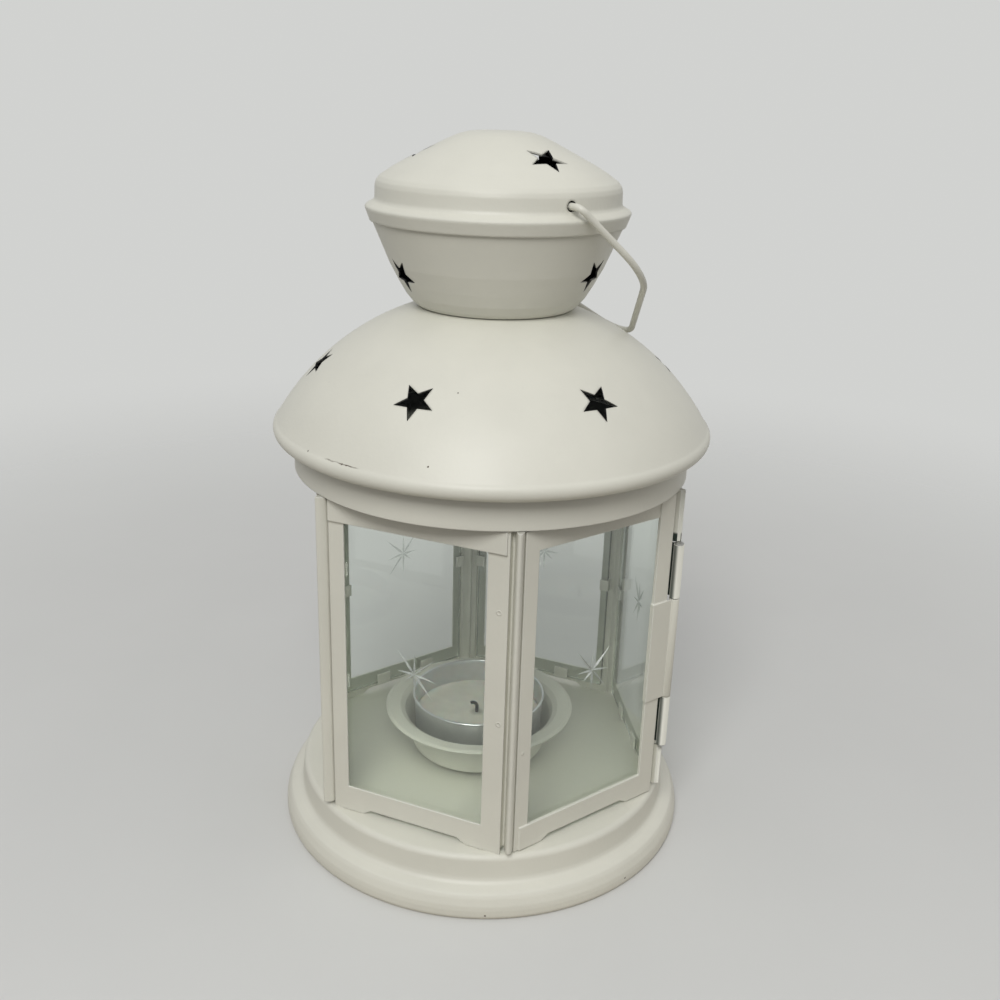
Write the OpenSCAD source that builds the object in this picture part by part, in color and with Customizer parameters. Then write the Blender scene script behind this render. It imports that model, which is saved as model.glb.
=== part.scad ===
// Punched tin lantern: a six-sided glazed cage with a hinged door, on a stepped base,
// under a domed roof, a ventilating cap and a swinging wire bail.
// The origin is the middle of the foot, +Z is up, and the door faces -Y.

/* [Overall] */
// Height from the foot to the top of the cap
total_h = 195; // [186:1:204]
// Thickness of the painted sheet
sheet = 0.55; // [0.5:0.05:0.6]

/* [Base] */
// Largest radius of the foot
foot_r = 59.6; // [58.6:0.1:61]
// Radius of the raised deck that carries the cage
deck_r = 54.4; // [54.2:0.1:55]
// Height of the deck
deck_z = 16; // [15:0.1:17.5]
// Height of the ledge between foot and deck
ledge_z = 7.6; // [6.6:0.1:9]

/* [Cage] */
// Distance from the axis to the corners where the panel planes meet
cage_r = 53.9; // [53.7:0.1:54]
// From a panel's middle to its right edge, seen from outside
panel_right_w = 25.55; // [25.4:0.05:25.65]
// From a panel's middle to its left edge, which stops at the bead of the corner
panel_left_w = 24.3; // [24.2:0.05:24.4]
// Half the width of a window
window_half_w = 19.95; // [18.5:0.05:20.4]
// Bottom edge of the windows
window_z0 = 23.5; // [22.5:0.1:25]
// Top edge of the windows
window_z1 = 101.9; // [98.5:0.1:103]
// Depth of the V fold between two panels
fold_depth = 2.4; // [2.1:0.1:2.7]
// Thickness of the second sheet where two strips lap
lap = 0.4; // [0.3:0.05:0.45]

/* [Glass] */
// Thickness of a pane
glass_t = 1.7; // [1.5:0.1:1.8]
// Half the width of a pane
pane_half_w = 22.3; // [21.5:0.1:22.4]
// Bottom edge of the panes
pane_z0 = 19.3; // [18.7:0.1:20.3]
// Top edge of the panes
pane_z1 = 105.1; // [104.2:0.1:105.8]

/* [Door hinge] */
// Distance from the axis of the lantern to the hinge pin
hinge_r = 55.1; // [55:0.1:55.2]
// Radius of the hinge pin
pin_r = 0.75; // [0.65:0.05:0.8]
// Outer radius of the rolled knuckles
knuckle_r = 1.4; // [1.3:0.05:1.45]
// Running clearance of the pin in the knuckles
pin_play = 0.05; // [0.02:0.01:0.09]

/* [Candle] */
// Outer radius of the candle cup's rim
cup_rim_r = 27.4; // [26:0.1:28.5]
// Height of the candle cup's rim
cup_rim_z = 30.8; // [29.8:0.1:32]
// Radius of the tealight
tealight_r = 19.35; // [18.9:0.05:19.5]
// Height of the tealight
tealight_h = 16; // [15:0.1:17]
// How deep the wax has burned below the tealight's rim
burned = 7.3; // [2:0.1:9]
// Height of the boss in the deck that the cup is riveted to
boss_h = 2; // [1.6:0.1:2.4]
// How far the cup sits off the lantern's axis along X
cup_x = -1.3; // [-1.5:0.1:1.5]
// How far the cup sits off the lantern's axis along Y
cup_y = 1; // [-1.5:0.1:1.5]

/* [Roof] */
// Outer radius of the dome's sphere
dome_r = 67.8; // [67.4:0.1:68.6]
// Radius of the skirt under the roof
skirt_r = 53.9; // [53.9:0.1:54.1]
// Bottom edge of the skirt
skirt_z0 = 108.1; // [108:0.1:109.5]
// Height of the seam between skirt and roof
eave_z = 116.6; // [116.2:0.1:117.4]
// Largest radius of the roof's rolled rim
rim_r = 59.25; // [58.6:0.05:59.4]
// Turn of the roof's star pattern against the door
roof_turn = -2; // [-10:1:10]

/* [Cap] */
// Radius of the cap's foot on the roof
cap_foot_r = 20.4; // [19.6:0.1:21.2]
// Radius of the cap's rim
cap_rim_r = 34.2; // [34:0.1:34.4]
// Height of the crimp between cone and dome
crimp_z = 172.8; // [172.3:0.1:173.5]
// Radius of the warm air hole between roof and cap
vent_r = 11; // [8:0.5:12.5]
// Turn of the cap and its bail against the door
cap_turn = -4; // [-10:1:10]

/* [Stars] */
// Distance from a star's middle to its points
star_r = 5.4; // [4.2:0.1:5.8]
// Radius of a star's inner corners as a share of the outer radius
star_waist = 0.42; // [0.38:0.01:0.5]

/* [Bail] */
// Radius of the bail's wire
wire_r = 0.85; // [0.75:0.05:1]
// Radius of the two holes that the bail swings in
bail_hole_r = 1.3; // [1.25:0.05:1.5]
// Height of those holes
bail_z = 179.6; // [179.2:0.1:180]
// Distance between the bail's legs beside the holes, from middle to middle
bail_w = 70.8; // [70.4:0.1:71.4]
// Length of a leg from the hole to the bend
bail_leg = 14.3; // [13.9:0.1:14.8]
// Radius of the bend at the bail's crown
bail_crown_r = 12.1; // [11.5:0.1:13]
// Angle below level at which the dropped bail leans on the roof
bail_drop = 42; // [38:0.5:42]

/* [Hidden] */
$fn = 128;
PANELS = [1, 2, 3, 4, 5];

paint = [0.86, 0.85, 0.79];
metal = [0.78, 0.78, 0.77];
clear = [0.72, 0.82, 0.78, 0.4];

// Cage
apothem = cage_r * cos(30);
side_step = 60;
post_sheet = 0.46;
flange_e = 3.53;
fold_e = 1.45;
bead_e = 2.6;
bead_flange_e = 3.95;
post_z0 = 17.46;
bead_z1 = 107.9;
frame_z1 = eave_z - sheet;
foot_recess_half_w = 13;
foot_recess_h = 1.39;
foot_recess_slope = 2.32;
rail_top_z = 107.34;
rail_left_w = 24.1;
rail_right_w = 24.98;
rail_lap = 0.6;
fold_s = 18.57;
fold_w = 5.57;
fold_l = 3.71;
slot_play = 0.05;

// Door
door_gap = 0.37;
door_z0 = deck_z + door_gap;
door_z1 = skirt_z0 - 0.56;
door_left_w = 24.2;
door_right_w = 24.9;
door_flange_d = 1.16;
door_rest_d = 0.05;
door_lap_s0 = -22.84;

// Hinge, with heights measured on the middle knuckle
leaf_z0 = 47.2;
leaf_z1 = 77.1;
knuckle_gap = 0.28;
knuckle_l = 15.45;
slot_extra = 3.9;
slot_w = 2.7;
slot_d = 2.8;
hinge_bead_z = [30.8, 93.4];
hinge_x = hinge_r * sin(30);
hinge_y = -hinge_r * cos(30);
pin_head_r = 1.16;
pin_head_t = 0.46;
leaf_t = 0.46;

// Glass tabs
tab_t = 0.42;
tab_w = 4.64;
tab_grip = 3.34;
tab_s = 8.36;
side_tab_w = 3.71;
side_tab_z = [55.71, 88.21];

// Candle cup and tealight
cup_z0 = deck_z + boss_h;
cup_foot_r = 17.8;
cup_corner_r = 1.9;
cup_lip_r = 22.7;
boss_r = 8;
foil = 0.3;
tealight_z0 = cup_z0 + sheet + 0.1;
tealight_shift = [-0.2, 0.15];
rivet_r = 1.5;
rivet_head_r = 3;
rivet_head_t = 0.85;
wick_r = 0.5;
wick_h = 3.6;
wick_turn = 143;
sustainer_r = 5.6;
sustainer_t = 0.3;

// Roof
dome_z = 86.41;
seat_z = dome_z + sqrt(dome_r * dome_r - cap_foot_r * cap_foot_r);
roll_r = 2.51;
roll_x = rim_r - roll_r;
roll_z = eave_z + roll_r;
lip_in_r = 46.89;
skirt_t = 0.46;
roof_star_turns = [-2.1, 59.4, 120.9, 182.3, 243.7, 302];
roof_star_r = 46.43;

// Cap
cap_top_z = total_h;
crimp_r = 32.5;
crimp_top_z = 175.69;
crimp_top_r = 33.57;
// Turn, radius and height of each star in the cone
cone_stars = [[27.8, 27.66, 161.7], [147, 27.49, 161.4], [267, 26.9, 160.3]];
cone_star_size = 5;
cone_star_lean = 24;
dome_star_r = 20.24;
dome_star_z = 189.24;
dome_star_lean = 27;
dome_star_size = 5.6;
dome_star_turns = [1.3, 122, 236];
eyelet_flange = 2.32;

// Bail
bail_inside = 4.64;
bail_elbow_r = 2.04;
bail_flare = 8.5;
bail_shoulder_r = 17.6;
bail_shoulder_a = 46;
ball_extra = 0.02;

// Direction at right angles to the line from a to b
function square_off(a, b) = let (d = (b - a) / norm(b - a)) [-d[1], d[0]];

// Point i of a path, moved by t to the left of the path
function moved(path, i, t) =
    let (last = len(path) - 1)
    let (before = i == 0 ? square_off(path[0], path[1]) : square_off(path[i - 1], path[i]))
    let (after = i == last ? before : square_off(path[i], path[i + 1]))
    let (middle = (before + after) / norm(before + after))
    path[i] + middle * t / (middle * before);

// Outline of a sheet of thickness t that follows a path, on the path's left side
function sheet_outline(path, t) =
    concat(path, [for (i = [len(path) - 1 : -1 : 0]) moved(path, i, t)]);

// Points along an arc
function arc(centre, r, a0, a1, steps) =
    [for (i = [0 : steps]) let (a = a0 + (a1 - a0) * i / steps) centre + r * [cos(a), sin(a)]];

// Point of a corner seen from above, with the corner towards -Y: e along the panel away
// from the corner, d inwards from the panel's outer face, side -1 or +1
function corner_point(e, d, side) =
    [side * (e * cos(30) - d * sin(30)), -(cage_r - e * sin(30) - d * cos(30))];

module shell(path, t) {
    rotate_extrude() polygon(sheet_outline(path, t));
}

// A flat piece in the door's plane: its outline in across and up, its outer face at depth d
module in_panel_plane(d, t) {
    translate([0, -(apothem - d - t), 0]) rotate([90, 0, 0]) linear_extrude(t) children();
}

module star_outline(r) {
    polygon([for (i = [0 : 9])
        let (rr = i % 2 == 0 ? r : r * star_waist, a = 36 * i)
        rr * [cos(a), sin(a)]]);
}

// A punch that leaves a star at radius r and height z, one point down the slope
module star_punch(r, z, lean, turn, size) {
    rotate([0, 0, turn - 90]) translate([r, 0, z]) rotate([0, lean, 0])
        translate([0, 0, -4]) linear_extrude(8) star_outline(size);
}

// Base
module base_pan() {
    path = concat(
        [[0, deck_z], [deck_r - 1.8, deck_z]],
        arc([deck_r - 1.8, deck_z - 1.6], 1.6, 80, 10, 4),
        [[deck_r + 0.09, ledge_z + 2.04], [deck_r + 0.37, ledge_z + 1.11], [deck_r + 1.11, ledge_z + 0.46]],
        [[foot_r - 2.41, ledge_z - 0.19], [foot_r - 1.49, ledge_z - 0.65], [foot_r - 0.93, ledge_z - 1.58]],
        [[foot_r - 0.19, 4.09], [foot_r, 2.79], [foot_r, 1.11], [foot_r - 0.33, 0.33]]
    );
    hem = [[foot_r - 0.33, 0.33], [foot_r - 0.84, 0], [foot_r - 1.86, 0], [foot_r - 2.23, 0.46],
        [foot_r - 2.23, 1.49], [foot_r - 1.67, 1.86], [foot_r - 0.56, 1.86], [foot_r - 0.56, 1.11]];
    boss = [[rivet_r - 0.5, cup_z0], [boss_r - 3, cup_z0], [boss_r - 2.4, cup_z0 - 0.15],
        [boss_r - 1.2, deck_z + 0.2], [boss_r - 0.5, deck_z], [boss_r, deck_z]];
    color(paint) difference() {
        union() {
            difference() {
                rotate_extrude() union() {
                    polygon(sheet_outline(path, -sheet));
                    polygon(hem);
                }
                translate([cup_x, cup_y, deck_z - 2 * sheet]) cylinder(r = boss_r - 0.3, h = 3 * sheet);
            }
            translate([cup_x, cup_y, 0]) rotate_extrude() polygon(sheet_outline(boss, -sheet));
        }
        translate([cup_x, cup_y, 0]) cylinder(r = rivet_r, h = 2 * deck_z);
        fold_slots(deck_z - 2 * sheet, deck_z + sheet);
    }
}

// Slots for the tabs of the fixed panels, over the heights z0 to z1
module fold_slots(z0, z1) {
    for (k = PANELS) {
        rotate([0, 0, side_step * k]) {
            for (s = [-fold_s, fold_s]) {
                translate([s - fold_w / 2 - slot_play, -apothem - slot_play, z0])
                    cube([fold_w + 2 * slot_play, sheet + 2 * slot_play, z1 - z0]);
            }
        }
    }
}

module candle_cup() {
    c = [cup_foot_r, cup_z0 + cup_corner_r];
    path = concat(
        [[rivet_r, cup_z0], [cup_foot_r - 0.5, cup_z0]],
        arc(c, cup_corner_r, -80, -25, 4),
        [[cup_lip_r - 1.1, cup_rim_z - 3.2], [cup_lip_r - 0.4, cup_rim_z - 1.7]],
        [[cup_lip_r + 0.8, cup_rim_z - 0.85], [cup_rim_r - 0.8, cup_rim_z - 0.55]],
        [[cup_rim_r, cup_rim_z - 0.85]]
    );
    color(paint) translate([cup_x, cup_y, 0]) shell(path, sheet);
}

module cup_rivet() {
    color(metal) translate([cup_x, cup_y, cup_z0 - sheet - rivet_head_t]) {
        cylinder(r = rivet_head_r, h = rivet_head_t);
        cylinder(r = rivet_r, h = rivet_head_t + 2 * sheet);
    }
}

// Tealight
module in_cup() {
    translate([cup_x + tealight_shift[0], cup_y + tealight_shift[1], tealight_z0]) children();
}

module tealight_cup() {
    top = tealight_h;
    path = [[0, 0], [tealight_r - 1.7, 0], [tealight_r - 1, 0.6], [tealight_r - 0.45, top - 1],
        [tealight_r - 0.3, top - 0.4]];
    color(metal) in_cup() {
        shell(path, foil);
        translate([0, 0, top - 0.35]) rotate_extrude() translate([tealight_r - 0.35, 0])
            circle(0.35, $fn = 24);
    }
}

// The wax has burned down and clings a little to the foil
module tealight_wax() {
    top = tealight_h - burned;
    r0 = tealight_r - 2.1;
    r1 = tealight_r - 1.35;
    color([0.93, 0.92, 0.88]) in_cup() rotate_extrude() polygon([
        [sustainer_r + 0.05, foil], [r0, foil], [r1 - 0.05, foil + 0.8], [r1 + 0.2, top + 0.5],
        [r1 - 0.3, top + 0.2], [r1 - 1.4, top + 0.05], [11, top - 0.05], [3, top - 0.1], [wick_r + 0.02, top],
        [wick_r + 0.02, foil + sustainer_t], [sustainer_r + 0.05, foil + sustainer_t]
    ]);
}

module wick_sustainer() {
    color(metal) in_cup() translate([0, 0, foil]) cylinder(r = sustainer_r, h = sustainer_t, $fn = 48);
}

// The wick stands in the wax and bends over where it has burned
module tealight_wick() {
    z = foil + sustainer_t;
    bend_r = 1.2;
    straight = tealight_h - burned + wick_h - bend_r - wick_r;
    color([0.12, 0.11, 0.1]) in_cup() rotate([0, 0, wick_turn]) {
        translate([0, 0, z]) cylinder(r = wick_r, h = straight - z, $fn = 24);
        translate([0, 0, straight]) sphere(wick_r + ball_extra, $fn = 24);
        translate([bend_r, 0, straight]) rotate([90, 0, 0]) rotate([0, 0, 60])
            rotate_extrude(angle = 120) translate([bend_r, 0]) circle(wick_r, $fn = 24);
    }
}

// Cage
module foot_outline(left_w, right_w, z0, z1) {
    r = foot_recess_half_w;
    polygon([
        [-left_w, z0], [-r - foot_recess_slope, z0], [-r, z0 + foot_recess_h],
        [r, z0 + foot_recess_h], [r + foot_recess_slope, z0], [right_w, z0],
        [right_w, z1], [-left_w, z1]
    ]);
}

module window_outline() {
    translate([-window_half_w, window_z0]) square([2 * window_half_w, window_z1 - window_z0]);
}

// A tab that passes the pane's edge and folds over its inner face: along the bottom and top
// edges of the pane, and up its sides
module glass_tabs(d, with_sides) {
    back = d + glass_t + 0.03;
    for (s = [-tab_s, tab_s]) {
        foot_grip = [pane_z0 - 0.09 - tab_t, pane_z0 + tab_grip];
        head_grip = [pane_z1 - tab_grip, pane_z1 + 0.09 + tab_t];
        for (edge = [foot_grip, head_grip]) {
            translate([s - tab_w / 2, 0]) in_panel_plane(back, tab_t)
                translate([0, edge[0]]) square([tab_w, edge[1] - edge[0]]);
        }
        for (z = [pane_z0 - 0.09 - tab_t, pane_z1 + 0.09]) {
            in_panel_plane(d, glass_t + 0.09) translate([s - tab_w / 2, z]) square([tab_w, tab_t]);
        }
    }
    if (with_sides) {
        for (side = [-1, 1]) {
            for (z = side_tab_z) {
                in_panel_plane(d, glass_t + 0.09) translate([side * (pane_half_w + 0.09 + tab_t / 2), z])
                    square([tab_t, side_tab_w], center = true);
                in_panel_plane(back, tab_t) translate([side * (pane_half_w + 0.09 + tab_t - 1.39), z])
                    square([2.79, side_tab_w], center = true);
            }
        }
    }
}

// A tab that goes through a slot next to the panel's edge and folds inwards: from z0 the
// slot's sheets are t thick, upwards with up = 1 and downwards with up = -1
module fold_tab(s, z0, t, up) {
    low = up > 0 ? z0 : z0 - t - sheet;
    fold = up > 0 ? z0 + t : z0 - t - sheet;
    translate([s - fold_w / 2, -apothem, low]) cube([fold_w, sheet, t + sheet]);
    translate([s - fold_w / 2, -apothem, fold]) cube([fold_w, fold_l, sheet]);
}

// One fixed panel: frame, lapped top rail with a rounded top edge, fold-over tabs that hold it
// to the base and the roof, and glass tabs
module panel_frame(k) {
    color(paint) rotate([0, 0, side_step * k]) {
        in_panel_plane(0, sheet) difference() {
            foot_outline(panel_left_w, panel_right_w, deck_z, frame_z1);
            window_outline();
        }
        in_panel_plane(-rail_lap, rail_lap) translate([-rail_left_w, window_z1 - 0.19])
            square([rail_left_w + rail_right_w, rail_top_z - window_z1 + 0.19]);
        translate([-rail_left_w, -apothem, rail_top_z]) rotate([0, 90, 0])
            cylinder(r = rail_lap, h = rail_left_w + rail_right_w, $fn = 24);
        for (s = [-fold_s, fold_s]) {
            fold_tab(s, deck_z, sheet, -1);
            fold_tab(s, frame_z1, 2 * sheet, 1);
        }
        glass_tabs(sheet, true);
    }
}

// The groove and the two flanges behind the panels
module corner_section(left_d, right_d) {
    path = [corner_point(flange_e, left_d, -1), corner_point(fold_e, left_d, -1),
        [-0.3, -(cage_r - fold_depth)], [0.1, -(cage_r - fold_depth)],
        corner_point(bead_e, right_d, 1), corner_point(bead_flange_e, right_d, 1)];
    polygon(sheet_outline(path, post_sheet));
}

// The closed bead that stands between the groove and the right-hand panel, over the heights
// z0 to z1: each point is across and out from the corner of the panels' outer faces
module corner_bead(z0, z1, right_d) {
    root = corner_point(bead_e, right_d + post_sheet / 2, 1);
    rise = [[0.12, -fold_depth - 0.1], [0.2, 0.35], [0.3, 0.92], [0.58, 1.34], [0.95, 1.42],
        [1.35, 1.2], [1.7, 0.7], [2.05, -0.1], [2.2, -0.75]];
    translate([0, 0, z0]) linear_extrude(z1 - z0)
        polygon(concat([for (p = rise) [p[0], -(cage_r + p[1])]], [[root[0] - 0.02, root[1]]]));
}

// The folded post of a corner
module corner_post(k, left_d, right_d) {
    color(paint) rotate([0, 0, side_step * k + 30]) {
        translate([0, 0, post_z0]) linear_extrude(frame_z1 - post_z0) corner_section(left_d, right_d);
        corner_bead(post_z0, bead_z1, right_d);
    }
}

// Rolled knuckle on the hinge axis, over the heights z0 to z1
module knuckle(z0, z1) {
    translate([0, 0, z0]) cylinder(r = knuckle_r, h = z1 - z0, $fn = 48);
}

module hinge_bore() {
    translate([hinge_x, hinge_y, 0]) cylinder(r = pin_r + pin_play, h = total_h, $fn = 48);
}

upper_z0 = leaf_z1 + knuckle_gap;
lower_z0 = leaf_z0 - knuckle_gap - knuckle_l;

// The post at the hinge: its bead stops below and above the hinge, and two tabs are cut from
// its groove and rolled outwards round the pin
module hinge_post() {
    tab_x0 = 0.65;
    tab_x1 = 1.11;
    tab_y1 = cage_r - fold_depth;
    color(paint) difference() {
        union() {
            rotate([0, 0, 30]) {
                translate([0, 0, post_z0]) linear_extrude(frame_z1 - post_z0)
                    corner_section(door_flange_d, sheet);
                corner_bead(post_z0, hinge_bead_z[0], sheet);
                corner_bead(hinge_bead_z[1], bead_z1, sheet);
                for (z = [upper_z0, lower_z0]) {
                    translate([tab_x0, -(hinge_r - 0.56), z])
                        cube([tab_x1 - tab_x0, hinge_r - 0.56 - tab_y1, knuckle_l]);
                }
            }
            translate([hinge_x, hinge_y, 0]) {
                knuckle(upper_z0, upper_z0 + knuckle_l);
                knuckle(lower_z0, lower_z0 + knuckle_l);
            }
        }
        hinge_bore();
        rotate([0, 0, 30]) {
            translate([-slot_w, -(cage_r - 0.8), lower_z0]) cube([slot_w + 0.05, slot_d, knuckle_l]);
            translate([-slot_w, -(cage_r - 0.8), upper_z0])
                cube([slot_w + 0.05, slot_d, knuckle_l + slot_extra]);
        }
    }
}

module hinge_pin() {
    z0 = lower_z0;
    z1 = upper_z0 + knuckle_l;
    color(metal) translate([hinge_x, hinge_y, 0]) {
        translate([0, 0, z0]) cylinder(r = pin_r, h = z1 - z0, $fn = 48);
        translate([0, 0, z0 - pin_head_t]) cylinder(r = pin_head_r, h = pin_head_t, $fn = 48);
        translate([0, 0, z1]) cylinder(r = pin_head_r, h = pin_head_t, $fn = 48);
    }
}

// The door: frame, lapped bottom rail and hinge stile, and the
// leaf that is folded back from the window's edge and rolled round the pin
module door_frame() {
    face = -sheet;
    leaf_out = face - lap - leaf_t;
    color(paint) difference() {
        union() {
            in_panel_plane(face, sheet) difference() {
                foot_outline(door_left_w, door_right_w, door_z0, door_z1);
                window_outline();
            }
            in_panel_plane(face - lap, lap) union() {
                intersection() {
                    foot_outline(door_left_w, door_right_w, door_z0, window_z0);
                    translate([door_lap_s0, 0]) square([door_right_w - door_lap_s0, total_h]);
                }
                translate([window_half_w, door_z0])
                    square([door_right_w - window_half_w, door_z1 - door_z0]);
            }
            in_panel_plane(leaf_out, leaf_t) translate([window_half_w - 0.37, leaf_z0])
                square([hinge_x - 0.84 - window_half_w + 0.37, leaf_z1 - leaf_z0]);
            in_panel_plane(leaf_out, leaf_t + lap + sheet) translate([window_half_w - 0.37, leaf_z0])
                square([0.37, leaf_z1 - leaf_z0]);
            translate([hinge_x, hinge_y, 0]) knuckle(leaf_z0, leaf_z1);
            glass_tabs(0, false);
        }
        hinge_bore();
    }
}

// Glass
module pane(d, half_w, z0, z1) {
    color(clear) in_panel_plane(d, glass_t) translate([-half_w, z0]) square([2 * half_w, z1 - z0]);
}

module glass_pane(k) {
    rotate([0, 0, side_step * k]) pane(sheet, pane_half_w, pane_z0, pane_z1);
}

module door_glass() {
    pane(0, pane_half_w, pane_z0, pane_z1);
}

// Roof
module roof_skirt() {
    color(paint) difference() {
        rotate_extrude() union() {
            translate([skirt_r - skirt_t, skirt_z0]) square([skirt_t, eave_z - skirt_z0]);
            translate([lip_in_r, eave_z - sheet]) square([skirt_r - lip_in_r, sheet]);
        }
        fold_slots(eave_z - 2 * sheet, eave_z + sheet);
    }
}

module roof_section() {
    intersection() {
        difference() {
            translate([0, dome_z]) circle(dome_r);
            translate([0, dome_z]) circle(dome_r - sheet);
        }
        translate([0, roll_z + 1.95]) square([dome_r, seat_z - roll_z - 1.95]);
    }
    translate([vent_r, seat_z - sheet]) square([cap_foot_r - vent_r, sheet]);
    intersection() {
        difference() {
            translate([roll_x, roll_z]) circle(roll_r, $fn = 64);
            translate([roll_x, roll_z]) circle(roll_r - sheet, $fn = 64);
        }
        translate([roll_x, 0]) square([roll_r, total_h]);
    }
    translate([lip_in_r, eave_z]) square([roll_x - lip_in_r, sheet]);
}

module roof_dome() {
    lean = asin(roof_star_r / dome_r);
    color(paint) difference() {
        rotate_extrude() roof_section();
        for (turn = roof_star_turns) {
            star_punch(roof_star_r, dome_z + dome_r * cos(lean), lean, roof_turn + turn, star_r);
        }
        fold_slots(eave_z - sheet, eave_z + 2 * sheet);
    }
}

// Hollow rivet that clamps the cap's floor on the roof and lets warm air through
module vent_eyelet() {
    z0 = seat_z - sheet;
    z1 = seat_z + sheet;
    t = 0.46;
    r = vent_r - t;
    color(metal) rotate_extrude() polygon([
        [r, z0 - t], [vent_r + eyelet_flange, z0 - t], [vent_r + eyelet_flange, z0], [vent_r, z0],
        [vent_r, z1], [vent_r + eyelet_flange, z1], [vent_r + eyelet_flange, z1 + t], [r, z1 + t]
    ]);
}

// Cap
module cap_cone() {
    z = seat_z;
    path = [[vent_r, z], [cap_foot_r - 1.11, z], [cap_foot_r + 0.09, z + 0.23], [cap_foot_r + 1.49, z + 1.21],
        [cap_foot_r + 3.34, z + 3.44], [cap_foot_r + 5.2, z + 6.59], [cap_foot_r + 7.61, z + 11.14],
        [crimp_r, crimp_z], [crimp_top_r, crimp_top_z]];
    color(paint) difference() {
        shell(path, sheet);
        for (place = cone_stars) {
            star_punch(place[1], place[2], 90 + cone_star_lean, cap_turn + place[0], cone_star_size);
        }
    }
}

module cap_dome() {
    t = sheet;
    top = cap_top_z;
    outside = [[crimp_r + t, crimp_z], [cap_rim_r - 0.09, crimp_top_z], [cap_rim_r, crimp_top_z + 0.46],
        [cap_rim_r - 0.33, crimp_top_z + 0.88], [32.04, 177.64], [31.71, 178.29], [31.62, 181.44],
        [31.29, 182.56], [30.46, 183.58], [27.3, 185.71], [23.77, 187.66], [20.24, 189.43], [16.71, 191.19],
        [13.37, 192.86], [10.59, 194.07], [8.17, 194.72], [5.57, top], [0, top]];
    inside = [[0, top - t], [5.48, top - t], [7.99, top - t - 0.28], [10.31, top - t - 0.93],
        [13.09, 192.31], [16.44, 190.64], [19.96, 188.87], [23.49, 187.11], [27.02, 185.16], [29.99, 183.11],
        [30.78, 182.28], [31.06, 181.35], [31.15, 178.19], [31.66, 177.17], [crimp_top_r, crimp_top_z + 0.28],
        [crimp_top_r, crimp_top_z], [crimp_r, crimp_z]];
    color(paint) difference() {
        rotate_extrude() polygon(concat(outside, inside));
        for (turn = dome_star_turns) {
            star_punch(dome_star_r, dome_star_z, dome_star_lean, cap_turn + turn, dome_star_size);
        }
        rotate([0, 0, cap_turn]) translate([0, 0, bail_z]) rotate([90, 0, 0])
            cylinder(r = bail_hole_r, h = 100, center = true, $fn = 48);
    }
}

// A bend of the wire in the bail's plane
module wire_bend(centre, r, a0, a1) {
    translate([centre[0], centre[1], 0]) rotate([0, 0, a0])
        rotate_extrude(angle = a1 - a0) translate([r, 0]) circle(wire_r, $fn = 32);
}

// A straight run of the wire, with a hardly thicker ball where it meets the bends
module wire_run(a, b, balls) {
    d = b - a;
    translate([a[0], a[1], 0]) rotate([0, 0, atan2(d[1], d[0])]) rotate([0, 90, 0])
        cylinder(r = wire_r, h = norm(d), $fn = 32);
    for (c = balls) {
        translate([c[0], c[1], 0]) sphere(wire_r + ball_extra, $fn = 32);
    }
}

// The bail, drawn with the pivot line along Y and the crown towards +X
module bail_wire() {
    f = bail_flare;
    a = bail_shoulder_a;
    elbow = [bail_elbow_r, bail_w / 2 - bail_elbow_r];
    leg_start = elbow + bail_elbow_r * [-sin(f), cos(f)];
    leg_end = leg_start + bail_leg * [cos(f), sin(f)];
    shoulder = leg_end + bail_shoulder_r * [sin(f), -cos(f)];
    from = shoulder + bail_shoulder_r * [sin(a), cos(a)];
    to = from + (from[1] - bail_crown_r * cos(a)) / sin(a) * [cos(a), -sin(a)];
    wire_bend(to - bail_crown_r * [sin(a), cos(a)], bail_crown_r, a - 90, 90 - a);
    for (side = [0, 1]) {
        mirror([0, side, 0]) {
            wire_run([0, elbow[1] - bail_inside], [0, elbow[1]], [[0, elbow[1]]]);
            wire_bend(elbow, bail_elbow_r, 90 + f, 180);
            wire_run(leg_start, leg_end, [leg_start, leg_end]);
            wire_bend(shoulder, bail_shoulder_r, 90 - a, 90 + f);
            wire_run(from, to, [from, to]);
        }
    }
}

module bail_handle() {
    color(paint) rotate([0, 0, cap_turn]) translate([0, 0, bail_z]) rotate([0, bail_drop, 0]) bail_wire();
}

base_pan();
candle_cup();
cup_rivet();
tealight_cup();
tealight_wax();
tealight_wick();
wick_sustainer();
for (k = PANELS) {
    panel_frame(k);
    glass_pane(k);
    corner_post(k, sheet, k == 5 ? door_rest_d : sheet);
}
hinge_post();
hinge_pin();
door_frame();
door_glass();
roof_skirt();
roof_dome();
vent_eyelet();
cap_cone();
cap_dome();
bail_handle();
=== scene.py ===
"""Punched tin lantern: the looks of the painted sheet, glass, candle and bail, laid out as an add-on."""

import math

import bpy
from mathutils import Matrix, Vector


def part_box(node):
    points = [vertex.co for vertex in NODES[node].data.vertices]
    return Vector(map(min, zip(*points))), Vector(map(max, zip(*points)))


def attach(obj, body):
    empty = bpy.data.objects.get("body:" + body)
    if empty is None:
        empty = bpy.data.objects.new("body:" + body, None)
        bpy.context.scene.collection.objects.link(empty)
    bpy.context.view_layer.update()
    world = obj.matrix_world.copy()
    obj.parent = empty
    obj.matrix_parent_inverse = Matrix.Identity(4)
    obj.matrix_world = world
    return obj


bl_info = {
    "name": "Punched Tin Lantern",
    "version": (1, 0, 0),
    "blender": (4, 5, 0),
    "location": "View3D > Sidebar > Lantern",
    "description": "Finishes the painted sheet, glass, candle and bail of a small lantern",
    "category": "Object",
}

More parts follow.
